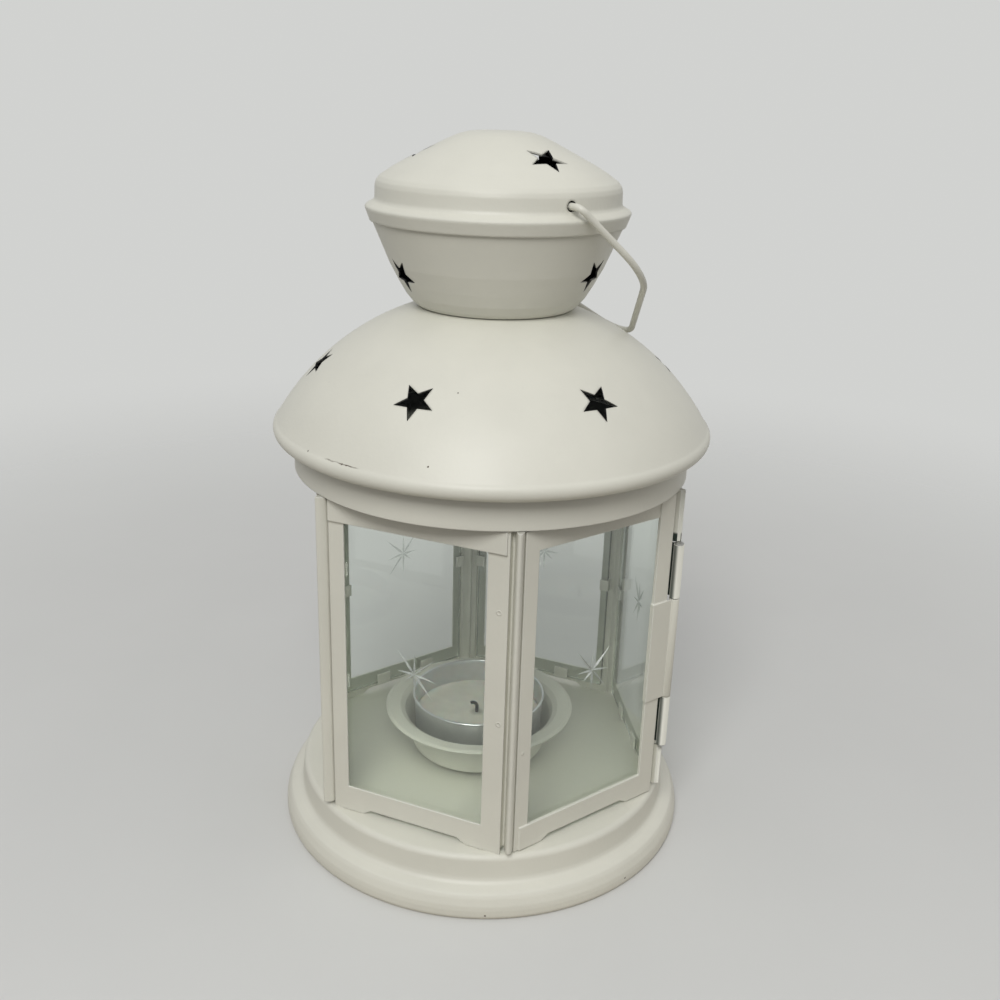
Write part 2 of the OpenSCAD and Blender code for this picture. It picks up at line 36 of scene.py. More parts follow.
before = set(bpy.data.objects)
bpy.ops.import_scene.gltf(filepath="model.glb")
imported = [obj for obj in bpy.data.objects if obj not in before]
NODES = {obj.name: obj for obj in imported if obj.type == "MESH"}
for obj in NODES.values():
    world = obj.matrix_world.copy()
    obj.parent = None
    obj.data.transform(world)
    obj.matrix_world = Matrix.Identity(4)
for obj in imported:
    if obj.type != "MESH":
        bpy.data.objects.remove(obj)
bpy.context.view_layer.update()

# Lengths and places are in metres throughout
PANELS = range(1, 6)
FOLDED_SHEET = (
    [f"panel_frame_{k}" for k in PANELS]
    + [f"corner_post_{k}" for k in PANELS]
    + ["hinge_post", "door_frame"]
)
PANES = [f"glass_pane_{k}" for k in PANELS] + ["door_glass"]
BARE_STEEL = ("cup_rivet", "wick_sustainer", "hinge_pin", "vent_eyelet")

# Depths of the paint's slow waves, fine peel, nicks and weld marks
WAVE_DEPTH = 0.00016
PEEL_DEPTH = 0.000045
NICK_DEPTH = 0.00008
WELD_DEPTH = 0.00012

# What the painted inner shade and bare spots add to the paint's roughness
DULLED = 0.3

# Radii to which the edges of the spun shells and of the sheet look rounded, and the bevel of cut edges
SPUN_EDGE = 0.0009
SHEET_EDGE = 0.0004
CUT_BEVEL = 0.00012

# Nicks in the paint: node, place and size
NICKS = (
    ("roof_dome", (-0.0559, -0.0162, 0.12106), 0.00040),
    ("roof_dome", (-0.0554, -0.0176, 0.12104), 0.00048),
    ("roof_dome", (-0.05811, -0.00339, 0.12116), 0.00044),
    ("roof_dome", (-0.04423, -0.03521, 0.12382), 0.00044),
    ("roof_dome", (-0.03226, -0.02949, 0.13822), 0.00027),
    ("roof_dome", (0.02630, -0.01400, 0.14729), 0.00027),
    ("base_pan", (-0.03424, -0.04878, 0.00158), 0.00044),
    ("base_pan", (0.00577, -0.05932, 0.00224), 0.00039),
)

# Scratch in the crease above the roof's rolled rim: its ends in degrees round from the door, its height
# and width, how far it strays up and down, and the length of its thin ends in radians
SCRATCH_TURNS = (-80.5, -68.0)
SCRATCH_Z = 0.12112
SCRATCH_WIDTH = 0.00013
SCRATCH_STRAY = 0.0006
SCRATCH_TAPER = 0.05

# Ring-shaped marks of the spot welds, on all five panels or on the door: place across, and height
WELDS = (("panels", 0.02322, 0.0861), ("panels", 0.0240, 0.0551), ("door", -0.0226, 0.0461))
WELD_RADIUS = 0.00055
PANEL_OUT = 0.0467

# Heights on the axis that the insides of roof and cap face, where they get painted shade
HEARTS = {"roof_dome": 0.088, "cap_cone": 0.172, "cap_dome": 0.165}

# Height above which the cage's insides get painted shade, and half the height over which it thins out
INNER_SHADE_Z = 0.1085
INNER_SHADE_FADE = 0.003

# Ends of the painted shade in the gap beside the hinge's knuckles, and half the height over which it thins
# out
HINGE_GAP_Z = (0.0306, 0.0958)
GAP_FADE = 0.0004

# How far the panes are drawn in, and how far the backs of the etched stars are sunk into them
SEAT_PLAY = 0.000015
STAR_SUNK = 0.00002

# Panes whose stars are only faintly etched
FAINT_STARS = (2, 3, 4)

# Rays of an etched star: angle from the right, turning left, and length as a share of the longest
ETCHED_RAYS = (
    (43, 1.0), (90, 0.72), (128, 1.0), (178, 0.6), (222, 0.45), (270, 0.78), (309, 0.98), (350, 0.7))

# Where a ray is widest, as a share of its length, and the height of its ridge, as a share of its width
BELLY_SHARE = 0.22
RIDGE_SHARE = 0.75

# Upright pleats round the tealight's foil
PLEATS = 60

# Top of the floor, just under the lantern's foot
FLOOR_Z = -0.00003

# The photograph's camera: its place, then its turn round the lantern, tilt, swing and roll in degrees
CAMERA_PLACE = (-0.175858, -0.234987, 0.205569)
CAMERA_ANGLES = (-36.81, 20.49459, 0.55331, 1.83262)


class PaintSettings(bpy.types.PropertyGroup):
    """Finish of the painted sheet."""

    colour: bpy.props.FloatVectorProperty(
        name="Paint", description="Colour of the paint",
        subtype="COLOR", size=3, min=0, max=1, default=(0.69, 0.685, 0.612))
    bare: bpy.props.FloatVectorProperty(
        name="Bare spots", description="Colour where the paint is nicked",
        subtype="COLOR", size=3, min=0, max=1, default=(0.10, 0.075, 0.055))
    # Painted shade: near-black laid on the insides of roof, cap and cage, where little light gets in
    inner_shade_colour: bpy.props.FloatVectorProperty(
        name="Soot", description="Colour of the smoked insides of roof, cap and cage",
        subtype="COLOR", size=3, min=0, max=1, default=(0.009, 0.010, 0.011))
    # Painted highlight: near-white laid on the sheet's rounded edges, where they catch the light
    edge: bpy.props.FloatVectorProperty(
        name="Edges", description="Colour of the sheet's cut edges",
        subtype="COLOR", size=3, min=0, max=1, default=(0.90, 0.90, 0.87))
    # Painted shade: near-black laid in the hinge's gap, where shade falls
    gap_shade_colour: bpy.props.FloatVectorProperty(
        name="Grime", description="Colour of the dirt in the hinge's gap",
        subtype="COLOR", size=3, min=0, max=1, default=(0.012, 0.024, 0.017))
    peel: bpy.props.FloatProperty(
        name="Peel", description="Size of the dimples in the paint",
        default=0.0011, min=0.0003, unit="LENGTH")
    roughness: bpy.props.FloatProperty(
        name="Roughness", description="Roughness of the paint",
        default=0.46, min=0, max=1, subtype="FACTOR")


class GlassSettings(bpy.types.PropertyGroup):
    """Panes and their etched stars."""

    body: bpy.props.FloatVectorProperty(
        name="Glass", description="Colour deep inside the glass",
        subtype="COLOR", size=3, min=0, max=1, default=(0.70, 0.84, 0.70))
    density: bpy.props.FloatProperty(
        name="Depth", description="How fast the colour builds up in the glass",
        default=55, min=0)
    etched: bpy.props.FloatVectorProperty(
        name="Etched", description="Colour of the etched stars",
        subtype="COLOR", size=3, min=0, max=1, default=(0.74, 0.78, 0.75))
    ray: bpy.props.FloatProperty(
        name="Ray", description="Length of the longest ray",
        default=0.0087, min=0.001, unit="LENGTH")
    ray_width: bpy.props.FloatProperty(
        name="Ray width", description="Width of a ray at its widest",
        default=0.00072, min=0.0001, unit="LENGTH")
    star_z: bpy.props.FloatProperty(
        name="Star height", description="Height of the stars above the table",
        default=0.0631, min=0, unit="LENGTH")


class CandleSettings(bpy.types.PropertyGroup):
    """Colours of the tealight."""

    wax: bpy.props.FloatVectorProperty(
        name="Wax", description="Colour of the wax",
        subtype="COLOR", size=3, min=0, max=1, default=(0.70, 0.68, 0.62))
    foil: bpy.props.FloatVectorProperty(
        name="Foil", description="Colour of the tealight's metal",
        subtype="COLOR", size=3, min=0, max=1, default=(0.70, 0.71, 0.72))
    wick: bpy.props.FloatVectorProperty(
        name="Wick", description="Colour of the burnt wick",
        subtype="COLOR", size=3, min=0, max=1, default=(0.005, 0.0045, 0.004))


class StageSettings(bpy.types.PropertyGroup):
    """Floor, light and camera."""

    floor: bpy.props.FloatVectorProperty(
        name="Floor", description="Colour of the floor",
        subtype="COLOR", size=3, min=0, max=1, default=(0.66, 0.665, 0.655))
    bounce: bpy.props.FloatVectorProperty(
        name="Bounce", description="Colour of the light that the floor gives back",
        subtype="COLOR", size=3, min=0, max=1, default=(0.44, 0.395, 0.325))
    backdrop: bpy.props.FloatVectorProperty(
        name="Backdrop", description="Colour behind the lantern",
        subtype="COLOR", size=3, min=0, max=1, default=(0.640, 0.646, 0.632))
    ambient: bpy.props.FloatProperty(
        name="Ambient", description="Strength of the light from all round",
        default=0.42, min=0)
    key_power: bpy.props.FloatProperty(
        name="Key", description="Power of the main lamp",
        default=4.9, min=0, unit="POWER")
    fill_power: bpy.props.FloatProperty(
        name="Fill", description="Power of the lamp on the other side",
        default=0.32, min=0, unit="POWER")
    lens: bpy.props.FloatProperty(
        name="Lens", description="Focal length of the camera in millimetres",
        default=39.884, min=10)
    fade_start: bpy.props.FloatProperty(
        name="Fade start", description="Where the floor begins to fade out",
        default=0.13, min=0, unit="LENGTH")
    fade_end: bpy.props.FloatProperty(
        name="Fade end", description="Where the floor has faded out",
        default=0.55, min=0, unit="LENGTH")


def join(tree, kind, inputs=None, **settings):
    """A new shader node with its settings, and its inputs set or linked."""
    made = tree.nodes.new(kind)
    for name, value in settings.items():
        setattr(made, name, value)
    for name, value in (inputs or {}).items():
        if isinstance(value, bpy.types.NodeSocket):
            tree.links.new(value, made.inputs[name])
        else:
            made.inputs[name].default_value = value
    return made


def sum_of(tree, operation, *values, clamp=False):
    """Result of a maths node on up to three values."""
    made = join(tree, "ShaderNodeMath", dict(enumerate(values)), operation=operation, use_clamp=clamp)
    return made.outputs[0]


def greatest(tree, values):
    """The greatest of one or more values."""
    most = values[0]
    for value in values[1:]:
        most = sum_of(tree, "MAXIMUM", most, value)
    return most


def vector_sum(tree, operation, *values):
    """Result of a vector maths node on one or two vectors."""
    made = join(tree, "ShaderNodeVectorMath", dict(enumerate(values)), operation=operation)
    gives_number = operation in {"LENGTH", "DISTANCE", "DOT_PRODUCT"}
    return made.outputs["Value" if gives_number else "Vector"]


def parts_of(tree, vector):
    """The three numbers of a vector."""
    return join(tree, "ShaderNodeSeparateXYZ", {"Vector": vector}).outputs


def face_normal(tree):
    """The surface's own normal, without bumps."""
    return tree.nodes.new("ShaderNodeNewGeometry").outputs["Normal"]


def ramp(tree, value, low, high, to_low=0.0, to_high=1.0):
    """Value taken smoothly from one range to another."""
    return join(
        tree, "ShaderNodeMapRange",
        {"Value": value, "From Min": low, "From Max": high, "To Min": to_low, "To Max": to_high},
        interpolation_type="SMOOTHSTEP").outputs[0]


def blend_colour(tree, share, first, second):
    """Two colours mixed by a share."""
    made = join(tree, "ShaderNodeMix", data_type="RGBA", blend_type="MIX")
    for socket, value in ((made.inputs[0], share), (made.inputs[6], first), (made.inputs[7], second)):
        if isinstance(value, bpy.types.NodeSocket):
            tree.links.new(value, socket)
        else:
            socket.default_value = value
    return made.outputs[2]


def blend_shaders(tree, share, first, second):
    """Two shaders mixed by a share."""
    return join(tree, "ShaderNodeMixShader", {0: share, 1: first.outputs[0], 2: second.outputs[0]})


def cloudy(tree, place, size, detail, rough, seed):
    """Noise with features of a size, from 0 to 1."""
    return join(
        tree, "ShaderNodeTexNoise",
        {"Vector": place, "W": seed, "Scale": 1 / size, "Detail": detail, "Roughness": rough},
        noise_dimensions="4D").outputs[0]


def bumped(tree, height, depth, normal=None):
    """Normal of a surface with a height from 0 to 1 of a depth."""
    inputs = {"Height": height, "Distance": depth, "Strength": 1.0}
    if normal:
        inputs["Normal"] = normal
    return join(tree, "ShaderNodeBump", inputs).outputs[0]


def opaque(colour):
    """Colour with a full alpha."""
    return (*colour, 1.0)


def fresh_material(name):
    """An empty material, its tree, its output and its place texture."""
    material = bpy.data.materials.new(name)
    material.use_nodes = True
    tree = material.node_tree
    tree.nodes.clear()
    output = tree.nodes.new("ShaderNodeOutputMaterial")
    place = tree.nodes.new("ShaderNodeTexCoord").outputs["Object"]
    return material, tree, output, place


def dress(names, material):
    """Gives CAD nodes a material."""
    for name in names:
        node = NODES.get(name)
        if node is None:
            raise RuntimeError(f"the frame has no node {name}")
        node.data.materials.clear()
        node.data.materials.append(material)


def soften_edges(names, width):
    """Closes the seams of the sheet and bevels its cut edges."""
    for name in names:
        node = NODES[name]
        weld = node.modifiers.new("close_seams", "WELD")
        weld.merge_threshold = 1e-6
        bevel = node.modifiers.new("soft_edges", "BEVEL")
        bevel.width = width
        bevel.segments = 2
        bevel.limit_method = "ANGLE"
        bevel.angle_limit = math.radians(35)
        bevel.harden_normals = True
        bevel.use_clamp_overlap = True


def free_of_sheet(names, gap):
    """Draws the faces of the panes in a little, so that none lies in a face of the sheet."""
    for name in names:
        play = NODES[name].modifiers.new("seat_play", "DISPLACE")
        play.mid_level = 0.0
        play.strength = -gap


def nicks_of(node):
    """Places and sizes of the nicks in a node's paint."""
    return [nick[1:] for nick in NICKS if nick[0] == node]


def scratch_mark(tree, place, ragged):
    """1 along the ragged scratch in the crease above the rim, and 0 elsewhere."""
    x, y, z = parts_of(tree, place)
    turn = sum_of(tree, "ARCTAN2", x, sum_of(tree, "MULTIPLY", y, -1.0))
    start, end = (math.radians(a) for a in SCRATCH_TURNS)
    along = sum_of(
        tree, "MULTIPLY",
        ramp(tree, turn, start, start + SCRATCH_TAPER),
        ramp(tree, turn, end, end - SCRATCH_TAPER))
    drift = sum_of(tree, "MULTIPLY_ADD", sum_of(tree, "SUBTRACT", ragged, 0.5), SCRATCH_STRAY, z)
    off = sum_of(tree, "ABSOLUTE", sum_of(tree, "SUBTRACT", drift, SCRATCH_Z))
    patchy = ramp(tree, cloudy(tree, place, 0.004, 2, 0.5, seed=16.0), 0.4, 0.55, 0.35, 0.9)
    line = sum_of(tree, "MULTIPLY", patchy, ramp(tree, off, SCRATCH_WIDTH, SCRATCH_WIDTH * 0.5))
    return sum_of(tree, "MULTIPLY", along, line)


def bare_spots(tree, place, nicks, scratched):
    """1 where the paint is nicked or scratched, with ragged edges, and 0 elsewhere."""
    ragged = cloudy(tree, place, 0.0011, 4, 0.7, seed=5.0)
    marks = [scratch_mark(tree, place, ragged)] if scratched else []
    for spot, size in nicks:
        away = vector_sum(tree, "DISTANCE", place, spot)
        edge = sum_of(tree, "MULTIPLY_ADD", ragged, size * 1.6, away)
        marks.append(ramp(tree, edge, size * 1.5, size * 1.25))
    return greatest(tree, marks)


def weld_marks(tree, place):
    """Height of small ring-shaped marks on the panels and the door, from 0 to 1."""
    marks = []
    for owner, across, height in WELDS:
        for k in PANELS if owner == "panels" else [0]:
            spot = Matrix.Rotation(math.radians(60 * k), 3, "Z") @ Vector((across, -PANEL_OUT, height))
            away = vector_sum(tree, "DISTANCE", place, tuple(spot))
            off = sum_of(tree, "ABSOLUTE", sum_of(tree, "SUBTRACT", away, WELD_RADIUS))
            marks.append(ramp(tree, off, WELD_RADIUS * 0.6, 0.0))
    return greatest(tree, marks)


def inner_shade_faces(tree, place, heart, inner_shade_z):
    """Mask of the painted shade: 1 on faces above the given height that face the heart, or the axis where
    there is none, and 0 elsewhere.
    """
    if heart is None:
        outward = vector_sum(tree, "MULTIPLY", place, (1, 1, 0))
    else:
        outward = vector_sum(tree, "SUBTRACT", place, (0, 0, heart))
    facing = vector_sum(tree, "DOT_PRODUCT", face_normal(tree), outward)
    height = parts_of(tree, place)[2]
    return sum_of(
        tree, "MULTIPLY",
        ramp(tree, facing, 0.002, -0.002),
        ramp(tree, height, inner_shade_z - INNER_SHADE_FADE, inner_shade_z + INNER_SHADE_FADE))


def gap_faces(tree, place, gap_z):
    """Mask of the painted shade: 1 on faces beside the hinge's gap, between its two ends, and 0 elsewhere.
    """
    low, high = gap_z
    height = parts_of(tree, place)[2]
    between = sum_of(
        tree, "MULTIPLY",
        ramp(tree, height, low - GAP_FADE, low + GAP_FADE),
        ramp(tree, height, high + GAP_FADE, high - GAP_FADE))
    sideways = parts_of(tree, face_normal(tree))[0]
    return sum_of(tree, "MULTIPLY", ramp(tree, sideways, -0.5, -0.78), between)


def paint_material(settings, name, soft=0.0, nicks=(), scratched=False, heart=None, inner_shade_z=None,
                   gap_z=None, welded=False, edge_highlights=False):
    """Satin paint with a fine peel and faint stains.

    Its edges look rounded to the radius soft, and get a painted highlight where asked for. It has nicks,
    the roof's scratch and weld marks where asked for, painted shade above the given height on faces that
    face the heart or the axis, and painted shade beside the hinge's gap between the two heights gap_z.
    """
    material, tree, output, place = fresh_material(name)
    base = Vector(settings.colour)
    stains = cloudy(tree, place, 0.03, 4, 0.55, seed=len(name))
    specks = cloudy(tree, place, 0.0016, 3, 0.6, seed=2.0)
    grain = cloudy(tree, place, settings.peel, 2, 0.5, seed=1.0)
    waves = cloudy(tree, place, 0.018, 2, 0.5, seed=3.0)
    tone = blend_colour(tree, ramp(tree, stains, 0.3, 0.75), opaque(base * 0.955), opaque(base * 1.03))
    tone = blend_colour(tree, ramp(tree, specks, 0.62, 0.75, 0.0, 0.10), tone, opaque(base * 0.8))
    roughness = ramp(tree, stains, 0.2, 0.8, settings.roughness - 0.05, settings.roughness + 0.07)
    rounded = join(tree, "ShaderNodeBevel", {"Radius": soft}, samples=6).outputs[0] if soft else None
    normal = bumped(tree, waves, WAVE_DEPTH, rounded)
    normal = bumped(tree, grain, PEEL_DEPTH, normal)
    if welded:
        normal = bumped(tree, weld_marks(tree, place), WELD_DEPTH, normal)
    if nicks or scratched:
        bare = bare_spots(tree, place, nicks, scratched)
        tone = blend_colour(tree, bare, tone, opaque(settings.bare))
        normal = bumped(tree, sum_of(tree, "SUBTRACT", 1.0, bare), NICK_DEPTH, normal)
        roughness = sum_of(tree, "MULTIPLY_ADD", bare, DULLED, roughness, clamp=True)
    # Painted shade: insides above the given height turn near-black and duller
    if inner_shade_z is not None:
        inner_shade_mask = inner_shade_faces(tree, place, heart, inner_shade_z)
        tone = blend_colour(tree, inner_shade_mask, tone, opaque(settings.inner_shade_colour))
        roughness = sum_of(tree, "MULTIPLY_ADD", inner_shade_mask, DULLED, roughness, clamp=True)
    # Painted highlight: rounded edges turn near-white where their normal turns away from the face's own
    if edge_highlights:
        level = vector_sum(tree, "DOT_PRODUCT", rounded, face_normal(tree))
        tone = blend_colour(tree, ramp(tree, level, 0.985, 0.80, 0.0, 0.85), tone, opaque(settings.edge))
    # Painted shade in the hinge's gap
    if gap_z:
        tone = blend_colour(tree, gap_faces(tree, place, gap_z), tone, opaque(settings.gap_shade_colour))
    shader = join(
        tree, "ShaderNodeBsdfPrincipled",
        {"Base Color": tone, "Roughness": roughness, "Normal": normal, "IOR": 1.47, "Coat Weight": 0.14,
         "Coat Roughness": 0.34})
    tree.links.new(shader.outputs[0], output.inputs["Surface"])
    return material


class LANTERN_OT_painted_roof(bpy.types.Operator):
    """Paint the roof dome, the cap's cone and the cap's dome, with painted shade inside"""

    bl_idname = "lantern.painted_roof"
    bl_label = "Painted roof and cap"

    def execute(self, context):
        settings = context.scene.lantern_paint
        for name, heart in HEARTS.items():
            dress([name], paint_material(
                settings, f"paint_{name}", soft=SPUN_EDGE, nicks=nicks_of(name),
                scratched=name == "roof_dome", heart=heart, inner_shade_z=0.0))
        return {"FINISHED"}


class LANTERN_OT_painted_cage(bpy.types.Operator):
    """Paint the panel frames, the corner folds, the door and the skirt"""

    bl_idname = "lantern.painted_cage"
    bl_label = "Painted cage and door"

    def execute(self, context):
        settings = context.scene.lantern_paint
        dress(FOLDED_SHEET + ["roof_skirt"], paint_material(
            settings, "paint_cage", soft=SHEET_EDGE, inner_shade_z=INNER_SHADE_Z, welded=True, edge_highlights=True))
        # The hinge post also gets painted shade in the gap beside its knuckles
        dress(["hinge_post"], paint_material(
            settings, "paint_hinge_post", soft=SHEET_EDGE, inner_shade_z=INNER_SHADE_Z, gap_z=HINGE_GAP_Z,
            edge_highlights=True))
        soften_edges(FOLDED_SHEET, CUT_BEVEL)
        return {"FINISHED"}


class LANTERN_OT_painted_base(bpy.types.Operator):
    """Paint the base pan, the candle cup and the bail"""

    bl_idname = "lantern.painted_base"
    bl_label = "Painted base, cup and bail"

    def execute(self, context):
        settings = context.scene.lantern_paint
        dress(["base_pan"], paint_material(
            settings, "paint_base", soft=SPUN_EDGE, nicks=nicks_of("base_pan")))
        dress(["candle_cup"], paint_material(settings, "paint_cup", soft=SHEET_EDGE))
        dress(["bail_handle"], paint_material(settings, "paint_bail"))
        return {"FINISHED"}


class LANTERN_OT_bright_metal(bpy.types.Operator):
    """Give the rivet, the hinge pin, the vent's eyelet and the wick's plate bare steel"""

    bl_idname = "lantern.bright_metal"
    bl_label = "Bare steel"

    def execute(self, context):
        material, tree, output, place = fresh_material("bare_steel")
        scratches = cloudy(tree, place, 0.0009, 5, 0.7, seed=4.0)
        patches = cloudy(tree, place, 0.006, 3, 0.5, seed=6.0)
        tone = blend_colour(
            tree, ramp(tree, patches, 0.3, 0.7), (0.40, 0.40, 0.39, 1), (0.56, 0.56, 0.55, 1))
        roughness = ramp(tree, scratches, 0.3, 0.7, 0.28, 0.48)
        shader = join(
            tree, "ShaderNodeBsdfPrincipled",
            {"Base Color": tone, "Metallic": 1.0, "Roughness": roughness,
             "Normal": bumped(tree, scratches, 0.00001)})
        tree.links.new(shader.outputs[0], output.inputs["Surface"])
        dress(BARE_STEEL, material)
        return {"FINISHED"}


def glass_material(settings):
    """Clear glass with green depth, a little dust, and light shadows."""
    material, tree, output, place = fresh_material("pane_glass")
    glass = join(
        tree, "ShaderNodeBsdfPrincipled",
        {"Base Color": (0.985, 1.0, 0.992, 1), "Roughness": 0.0, "IOR": 1.5, "Transmission Weight": 1.0,
         "Specular IOR Level": 0.34})
    specks = ramp(tree, cloudy(tree, place, 0.0013, 4, 0.7, seed=8.0), 0.68, 0.76, 0.0, 0.08)
    veil = ramp(tree, cloudy(tree, place, 0.02, 3, 0.5, seed=9.0), 0.35, 0.75, 0.0, 0.008)
    dust = join(tree, "ShaderNodeBsdfDiffuse", {"Color": (0.75, 0.77, 0.75, 1), "Roughness": 0.6})
    dusty = blend_shaders(tree, sum_of(tree, "ADD", specks, veil), glass, dust)
    clear = join(tree, "ShaderNodeBsdfTransparent", {"Color": (0.65, 0.66, 0.615, 1)})
    light_path = tree.nodes.new("ShaderNodeLightPath")
    mixed = blend_shaders(tree, light_path.outputs["Is Shadow Ray"], dusty, clear)
    tree.links.new(mixed.outputs[0], output.inputs["Surface"])
    depth = join(
        tree, "ShaderNodeVolumeAbsorption", {"Color": opaque(settings.body), "Density": settings.density})
    tree.links.new(depth.outputs[0], output.inputs["Volume"])
    return material


def etched_material(settings, name, clear):
    """Cut and frosted glass of the etched stars, with a share that lets the light straight through."""
    material, tree, output, place = fresh_material(name)
    frost = cloudy(tree, place, 0.0002, 3, 0.7, seed=11.0)
    etched = Vector(settings.etched)
    tone = blend_colour(tree, ramp(tree, frost, 0.35, 0.65), opaque(etched * 0.75), opaque(etched))
    shader = join(
        tree, "ShaderNodeBsdfPrincipled",
        {"Base Color": tone, "Roughness": ramp(tree, frost, 0.2, 0.8, 0.18, 0.45), "IOR": 1.5,
         "Transmission Weight": 0.35, "Normal": bumped(tree, frost, 0.00003)})
    thin = join(tree, "ShaderNodeBsdfTransparent", {"Color": (0.97, 0.98, 0.975, 1)})
    mixed = blend_shaders(tree, clear, shader, thin)
    tree.links.new(mixed.outputs[0], output.inputs["Surface"])
    return material


def etched_star(name, settings, out, turn):
    """Ridged rays round the middle of a pane's outer face, which is out metres from the axis."""
    points, faces = [], []
    half, ridge = settings.ray_width / 2, settings.ray_width * RIDGE_SHARE
    for angle, share in ETCHED_RAYS:
        a = math.radians(angle)
        along = Vector((math.cos(a), 0, math.sin(a)))
        aside = Vector((-along.z, 0, along.x)) * half
        tip = along * settings.ray * share
        belly = tip * BELLY_SHARE
        first = len(points)
        points += [Vector(), belly + aside, tip, belly - aside, belly + Vector((0, -ridge, 0))]
        for face in ((0, 4, 1), (1, 4, 2), (2, 4, 3), (3, 4, 0), (0, 1, 2, 3)):
            faces.append([first + i for i in face])
    mesh = bpy.data.meshes.new(name)
    place = Matrix.Rotation(math.radians(turn), 4, "Z") @ Matrix.Translation((0, -out, settings.star_z))
    mesh.from_pydata([place @ p for p in points], [], faces)
    mesh.update()
    star = bpy.data.objects.new(name, mesh)
    bpy.context.scene.collection.objects.link(star)
    return star


class LANTERN_OT_glazing(bpy.types.Operator):
    """Give the panes their glass and cut a star into each"""

    bl_idname = "lantern.glazing"
    bl_label = "Glass and etched stars"

    def execute(self, context):
        settings = context.scene.lantern_glass
        dress(PANES, glass_material(settings))
        free_of_sheet(PANES, SEAT_PLAY)
        plain = etched_material(settings, "etched_glass", 0.12)
        faint = etched_material(settings, "etched_faint", 0.7)
        out_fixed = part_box("glass_pane_3")[1].y
        out_door = -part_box("door_glass")[0].y
        for k in range(6):
            out = out_door if k == 0 else out_fixed
            star = etched_star(f"etched_star_{k}", settings, out - STAR_SUNK, 60 * k)
            star.data.materials.append(faint if k in FAINT_STARS else plain)
            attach(star, "door" if k == 0 else "body")
        return {"FINISHED"}


def foil_material(settings, middle):
    """Drawn foil with creases, and fine upright pleats round the middle of the cup."""
    material, tree, output, place = fresh_material("drawn_foil")
    local = vector_sum(tree, "SUBTRACT", place, tuple(middle))
    flat = vector_sum(tree, "MULTIPLY", local, (1, 1, 0))
    turn = join(tree, "ShaderNodeTexGradient", {"Vector": flat}, gradient_type="RADIAL").outputs[1]
    pleats = sum_of(tree, "SINE", sum_of(tree, "MULTIPLY", turn, 2 * math.pi * PLEATS))
    creases = cloudy(tree, place, 0.003, 3, 0.6, seed=12.0)
    height = sum_of(tree, "MULTIPLY_ADD", pleats, 0.3, creases)
    foil = Vector(settings.foil)
    tone = blend_colour(tree, ramp(tree, creases, 0.3, 0.7), opaque(foil * 0.92), opaque(foil))
    shader = join(
        tree, "ShaderNodeBsdfPrincipled",
        {"Base Color": tone, "Metallic": 1.0, "Roughness": ramp(tree, creases, 0.3, 0.7, 0.34, 0.42),
         "Normal": bumped(tree, height, 0.000008)})
    tree.links.new(shader.outputs[0], output.inputs["Surface"])
    return material


def wax_material(settings, wick_foot):
    """Mottled wax, darker where it burnt at the foot of the wick."""
    material, tree, output, place = fresh_material("candle_wax")
    mottled = cloudy(tree, place, 0.004, 4, 0.6, seed=13.0)
    burnt = ramp(tree, vector_sum(tree, "DISTANCE", place, wick_foot), 0.0028, 0.0009, 0.0, 0.55)
    wax = Vector(settings.wax)
    tone = blend_colour(tree, ramp(tree, mottled, 0.3, 0.7), opaque(wax * 0.93), opaque(wax * 1.04))
    tone = blend_colour(tree, burnt, tone, (0.20, 0.17, 0.14, 1))
    shader = join(
        tree, "ShaderNodeBsdfPrincipled",
        {"Base Color": tone, "Roughness": ramp(tree, mottled, 0.3, 0.7, 0.32, 0.5), "IOR": 1.43,
         "Subsurface Weight": 0.35, "Subsurface Scale": 0.0015,
         "Normal": bumped(tree, mottled, 0.00012)})
    tree.links.new(shader.outputs[0], output.inputs["Surface"])
    return material


def wick_material(settings):
    """Charred strands of the wick."""
    material, tree, output, place = fresh_material("burnt_wick")
    strands = cloudy(tree, place, 0.0003, 3, 0.6, seed=14.0)
    tone = blend_colour(
        tree, ramp(tree, strands, 0.4, 0.7), opaque(settings.wick), (0.018, 0.015, 0.013, 1))
    shader = join(
        tree, "ShaderNodeBsdfPrincipled",
        {"Base Color": tone, "Roughness": 0.9, "Normal": bumped(tree, strands, 0.00015)})
    tree.links.new(shader.outputs[0], output.inputs["Surface"])
    return material


class LANTERN_OT_candle(bpy.types.Operator):
    """Finish the tealight's foil, wax and wick"""

    bl_idname = "lantern.candle"
    bl_label = "Tealight"

    def execute(self, context):
        settings = context.scene.lantern_candle
        low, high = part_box("tealight_cup")
        middle = (low + high) / 2
        wick_foot = (middle.x, middle.y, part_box("tealight_wax")[1].z)
        dress(["tealight_cup"], foil_material(settings, middle))
        dress(["tealight_wax"], wax_material(settings, wick_foot))
        dress(["tealight_wick"], wick_material(settings))
        return {"FINISHED"}


def soft_lamp(name, place, towards, size, power, colour):
    """A square lamp that points at a place."""
    data = bpy.data.lights.new(name, "AREA")
    data.shape = "SQUARE"
    data.size = size
    data.energy = power
    data.color = colour
    lamp = bpy.data.objects.new(name, data)
    lamp.location = place
    lamp.rotation_euler = (Vector(towards) - Vector(place)).to_track_quat("-Z", "Y").to_euler()
    bpy.context.scene.collection.objects.link(lamp)


def seen_ray(tree):
    """1 for what the camera sees, directly, mirrored or through glass, and 0 for light on its way."""
    light_path = tree.nodes.new("ShaderNodeLightPath")
    kinds = ("Is Camera Ray", "Is Glossy Ray", "Is Transmission Ray")
    return greatest(tree, [light_path.outputs[kind] for kind in kinds])


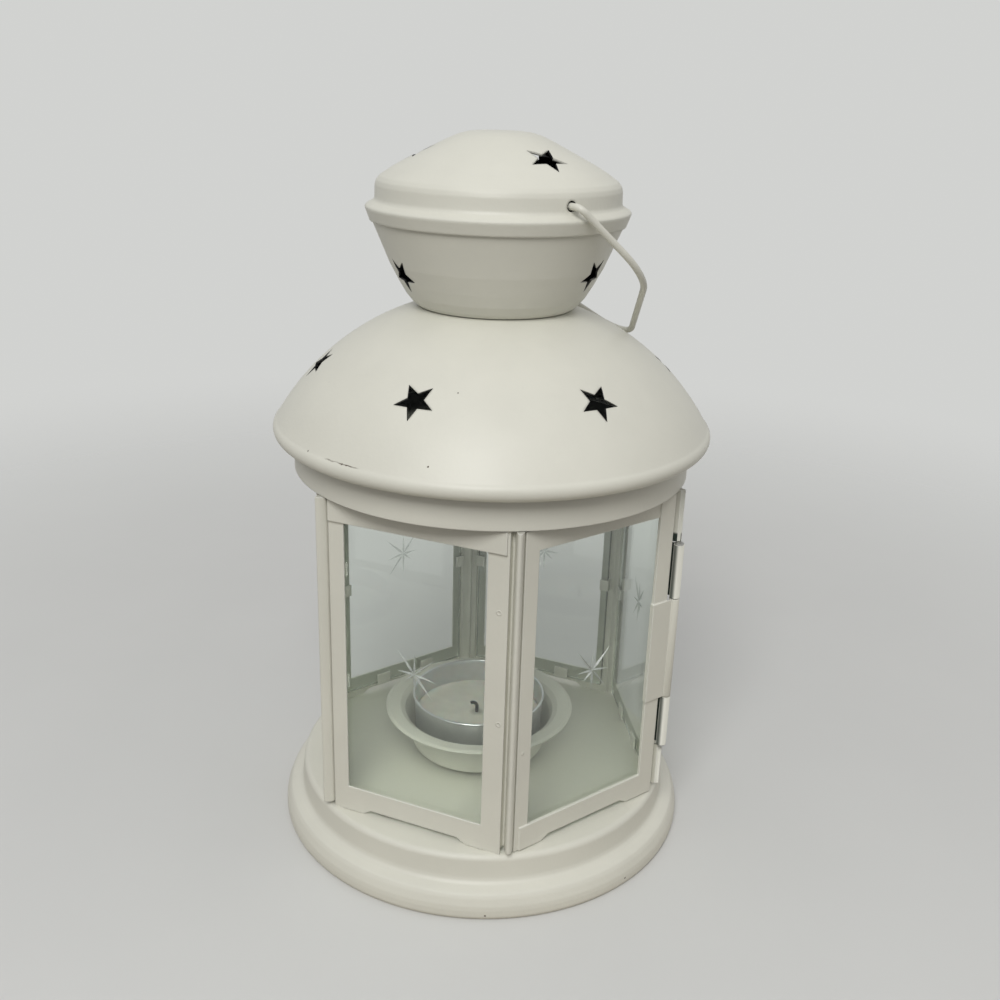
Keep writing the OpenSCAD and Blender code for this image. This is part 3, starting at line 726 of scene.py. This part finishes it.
def pale_floor(settings):
    """A round floor that fades into the backdrop, and gives back less light than it shows."""
    count, radius = 96, settings.fade_end * 1.05
    angles = [2 * math.pi * i / count for i in range(count)]
    mesh = bpy.data.meshes.new("floor")
    mesh.from_pydata(
        [(radius * math.cos(a), radius * math.sin(a), FLOOR_Z) for a in angles], [], [range(count)])
    floor = bpy.data.objects.new("floor", mesh)
    bpy.context.scene.collection.objects.link(floor)
    material, tree, output, place = fresh_material("floor_finish")
    mottled = cloudy(tree, place, 0.05, 3, 0.5, seed=15.0)
    shown = Vector(settings.floor)
    pale = blend_colour(tree, ramp(tree, mottled, 0.3, 0.7), opaque(shown * 0.985), opaque(shown))
    tone = blend_colour(tree, seen_ray(tree), opaque(settings.bounce), pale)
    shader = join(
        tree, "ShaderNodeBsdfPrincipled", {"Base Color": tone, "Roughness": 0.7, "Specular IOR Level": 0.2})
    gone = ramp(tree, vector_sum(tree, "LENGTH", place), settings.fade_start, settings.fade_end)
    mixed = blend_shaders(tree, gone, shader, tree.nodes.new("ShaderNodeBsdfTransparent"))
    tree.links.new(mixed.outputs[0], output.inputs["Surface"])
    mesh.materials.append(material)


def pale_world(settings):
    """The backdrop's colour where it is seen, and an even light elsewhere."""
    world = bpy.data.worlds.new("pale_room")
    world.use_nodes = True
    tree = world.node_tree
    tree.nodes.clear()
    output = tree.nodes.new("ShaderNodeOutputWorld")
    height = parts_of(tree, tree.nodes.new("ShaderNodeTexCoord").outputs["Generated"])[2]
    strength = ramp(tree, height, -0.05, 0.6, settings.ambient * 0.36, settings.ambient * 1.3)
    even = join(tree, "ShaderNodeBackground", {"Color": (1.0, 0.997, 0.99, 1), "Strength": strength})
    shown = join(tree, "ShaderNodeBackground", {"Color": opaque(settings.backdrop), "Strength": 1.0})
    mixed = blend_shaders(tree, seen_ray(tree), even, shown)
    tree.links.new(mixed.outputs[0], output.inputs["Surface"])
    bpy.context.scene.world = world


def photo_camera(settings):
    """The camera at the photograph's place, tilt and roll."""
    turn, tilt, swing, roll = (math.radians(a) for a in CAMERA_ANGLES)
    ahead = Vector((math.sin(swing) * math.cos(tilt), math.cos(swing) * math.cos(tilt), -math.sin(tilt)))
    level = Vector((math.cos(swing), -math.sin(swing), 0))
    upright = level.cross(ahead)
    right = math.cos(roll) * level + math.sin(roll) * upright
    up = math.cos(roll) * upright - math.sin(roll) * level
    to_frame = Matrix.Rotation(turn, 3, "Z")
    axes = Matrix([to_frame @ right, to_frame @ up, to_frame @ -ahead]).transposed()
    data = bpy.data.cameras.new("camera")
    data.sensor_width = 36
    data.lens = settings.lens
    data.clip_start, data.clip_end = 0.01, 10
    camera = bpy.data.objects.new("camera", data)
    camera.matrix_world = Matrix.Translation(CAMERA_PLACE) @ axes.to_4x4()
    bpy.context.scene.collection.objects.link(camera)
    bpy.context.scene.camera = camera


class LANTERN_OT_stage(bpy.types.Operator):
    """Lay the floor, set the lamps and place the camera"""

    bl_idname = "lantern.stage"
    bl_label = "Floor, light and camera"

    def execute(self, context):
        settings = context.scene.lantern_stage
        pale_floor(settings)
        pale_world(settings)
        soft_lamp(
            "key_lamp", place=(-0.50, -0.46, 0.77), towards=(0, 0, 0.08), size=0.38,
            power=settings.key_power, colour=(1.0, 0.992, 0.972))
        soft_lamp(
            "fill_lamp", place=(0.65, -0.45, 0.40), towards=(0, 0, 0.09), size=0.7,
            power=settings.fill_power, colour=(1.0, 0.93, 0.84))
        photo_camera(settings)
        context.scene.view_settings.view_transform = "Standard"
        return {"FINISHED"}


STEPS = (
    LANTERN_OT_painted_roof,
    LANTERN_OT_painted_cage,
    LANTERN_OT_painted_base,
    LANTERN_OT_bright_metal,
    LANTERN_OT_glazing,
    LANTERN_OT_candle,
    LANTERN_OT_stage,
)
SETTINGS = {
    "lantern_paint": PaintSettings,
    "lantern_glass": GlassSettings,
    "lantern_candle": CandleSettings,
    "lantern_stage": StageSettings,
}


class LANTERN_PT_steps(bpy.types.Panel):
    """Lists the lantern's settings and steps"""

    bl_idname = "LANTERN_PT_steps"
    bl_label = "Punched Tin Lantern"
    bl_space_type = "VIEW_3D"
    bl_region_type = "UI"
    bl_category = "Lantern"

    def draw(self, context):
        for name, group in SETTINGS.items():
            box = self.layout.box()
            for field in group.__annotations__:
                box.prop(getattr(context.scene, name), field)
        for step in STEPS:
            self.layout.operator(step.bl_idname)


def register():
    for group in SETTINGS.values():
        bpy.utils.register_class(group)
    for step in (*STEPS, LANTERN_PT_steps):
        bpy.utils.register_class(step)
    for name, group in SETTINGS.items():
        setattr(bpy.types.Scene, name, bpy.props.PointerProperty(type=group))


def unregister():
    for name in SETTINGS:
        delattr(bpy.types.Scene, name)
    for step in (LANTERN_PT_steps, *reversed(STEPS)):
        bpy.utils.unregister_class(step)
    for group in reversed(SETTINGS.values()):
        bpy.utils.unregister_class(group)


def main():
    register()
    for step in STEPS:
        group, name = step.bl_idname.split(".")
        if getattr(getattr(bpy.ops, group), name)() != {"FINISHED"}:
            raise RuntimeError(f"{step.bl_label} didn't finish")
    bpy.context.view_layer.update()


if __name__ == "__main__":
    main()
